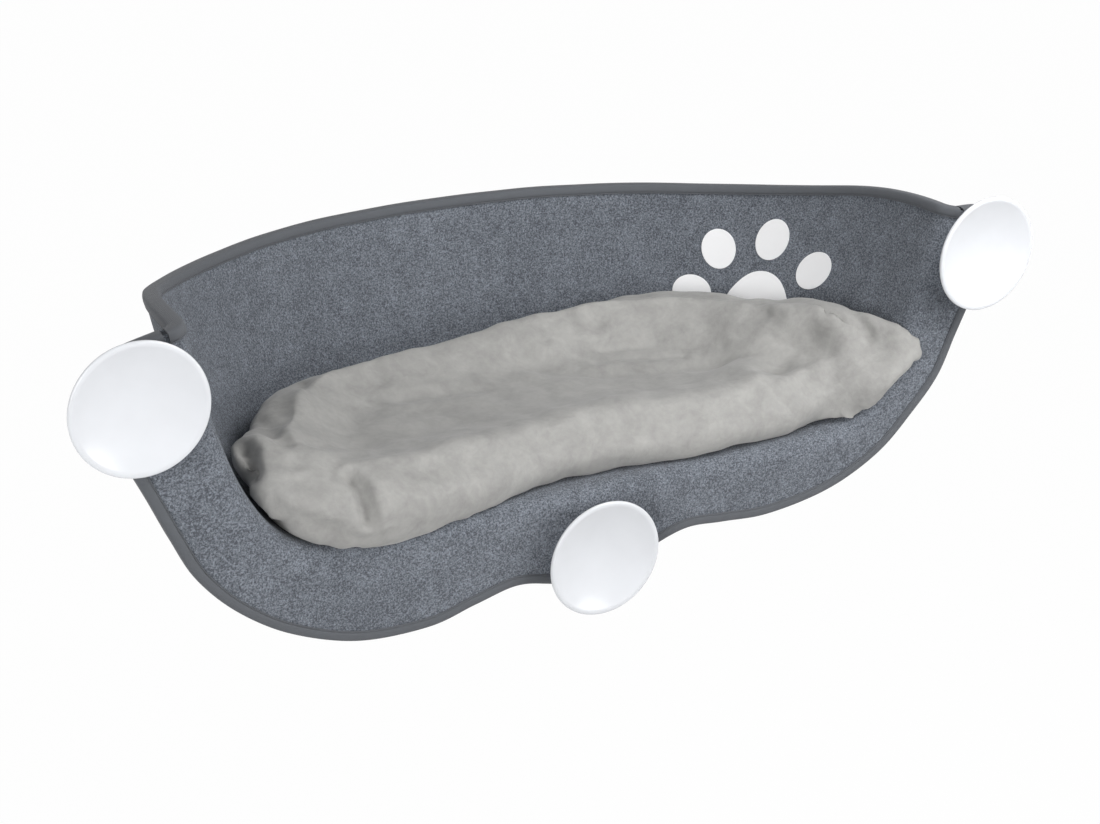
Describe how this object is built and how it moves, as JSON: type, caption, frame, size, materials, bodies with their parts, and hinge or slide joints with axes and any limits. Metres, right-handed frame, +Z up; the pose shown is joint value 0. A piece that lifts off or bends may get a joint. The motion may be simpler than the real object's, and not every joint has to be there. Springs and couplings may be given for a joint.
{
  "type": "window mounted cat perch",
  "caption": "Felt bowl perch with a rounded ridge, a flat flange with suction cups for a window pane, and a loose fleece pad.",
  "frame": {"origin": "on the plane of the window pane, midway between the axes of the two upper suction cups", "axes": "+X right along the window as seen from the pane, +Y from the pane into the room, +Z up"},
  "size_m": [0.67, 0.2671, 0.2415],
  "materials": {
    "felt": "needled felt, blue grey melange",
    "foam": "moulded foam core, matt",
    "binding": "woven tape, matt",
    "board": "hardboard, matt",
    "fleece": "short pile fleece",
    "filling": "polyester fibre",
    "paw": "flat white patch",
    "cup": "glossy soft vinyl, translucent white",
    "metal": "zinc plated",
    "knob": "moulded, fine grain"
  },
  "bodies": {
    "shell": {"inner_felt": "felt", "shell_core": "foam", "outer_felt": "felt", "wall_binding": "binding", "flange_binding": "binding", "base_board": "board", "paw_palm": "paw", "paw_toe_1": "paw", "paw_toe_2": "paw", "paw_toe_3": "paw", "paw_toe_4": "paw", "left_eyelet": "metal", "left_eyelet_ring": "metal", "right_eyelet": "metal", "right_eyelet_ring": "metal", "lower_eyelet": "metal", "lower_eyelet_ring": "metal"},
    "pad": {"pad_cover": "fleece", "pad_filling": "filling"},
    "left_suction_cup": {"left_cup": "cup", "left_stud": "metal"},
    "left_washer": {"left_knob_washer": "knob"},
    "left_screw_knob": {"left_knob": "knob"},
    "right_suction_cup": {"right_cup": "cup", "right_stud": "metal"},
    "right_washer": {"right_knob_washer": "knob"},
    "right_screw_knob": {"right_knob": "knob"},
    "lower_suction_cup": {"lower_cup": "cup", "lower_stud": "metal"},
    "lower_washer": {"lower_knob_washer": "knob"},
    "lower_screw_knob": {"lower_knob": "knob"}
  },
  "joints": [
    {"name": "pad_lift", "type": "slide", "parent": "shell", "child": "pad", "axis": [0, 0, 1], "range_m": [0, 0.12]},
    {"name": "left_cup_spin", "type": "hinge", "parent": "shell", "child": "left_suction_cup", "pos_m": [-0.295, 0, 0], "axis": [0, 1, 0], "continuous": true},
    {"name": "left_knob_travel", "type": "slide", "parent": "left_suction_cup", "child": "left_washer", "axis": [0, 1, 0], "range_m": [0, 0.005]},
    {"name": "left_knob_turn", "type": "hinge", "parent": "left_washer", "child": "left_screw_knob", "pos_m": [-0.295, 0.03, 0], "axis": [0, 1, 0], "range_deg": [0, 1440]},
    {"name": "right_cup_spin", "type": "hinge", "parent": "shell", "child": "right_suction_cup", "pos_m": [0.295, 0, 0], "axis": [0, 1, 0], "continuous": true},
    {"name": "right_knob_travel", "type": "slide", "parent": "right_suction_cup", "child": "right_washer", "axis": [0, 1, 0], "range_m": [0, 0.005]},
    {"name": "right_knob_turn", "type": "hinge", "parent": "right_washer", "child": "right_screw_knob", "pos_m": [0.295, 0.03, 0], "axis": [0, 1, 0], "range_deg": [0, 1440]},
    {"name": "lower_cup_spin", "type": "hinge", "parent": "shell", "child": "lower_suction_cup", "pos_m": [0, 0, -0.1615], "axis": [0, 1, 0], "continuous": true},
    {"name": "lower_knob_travel", "type": "slide", "parent": "lower_suction_cup", "child": "lower_washer", "axis": [0, 1, 0], "range_m": [0, 0.005]},
    {"name": "lower_knob_turn", "type": "hinge", "parent": "lower_washer", "child": "lower_screw_knob", "pos_m": [0, 0.03, -0.1615], "axis": [0, 1, 0], "range_deg": [0, 1440]}
  ],
  "couplings": [
    {"joint": "left_knob_travel", "follows": "left_knob_turn", "m_per_rad": 0.0001989},
    {"joint": "right_knob_travel", "follows": "right_knob_turn", "m_per_rad": 0.0001989},
    {"joint": "lower_knob_travel", "follows": "lower_knob_turn", "m_per_rad": 0.0001989}
  ]
}
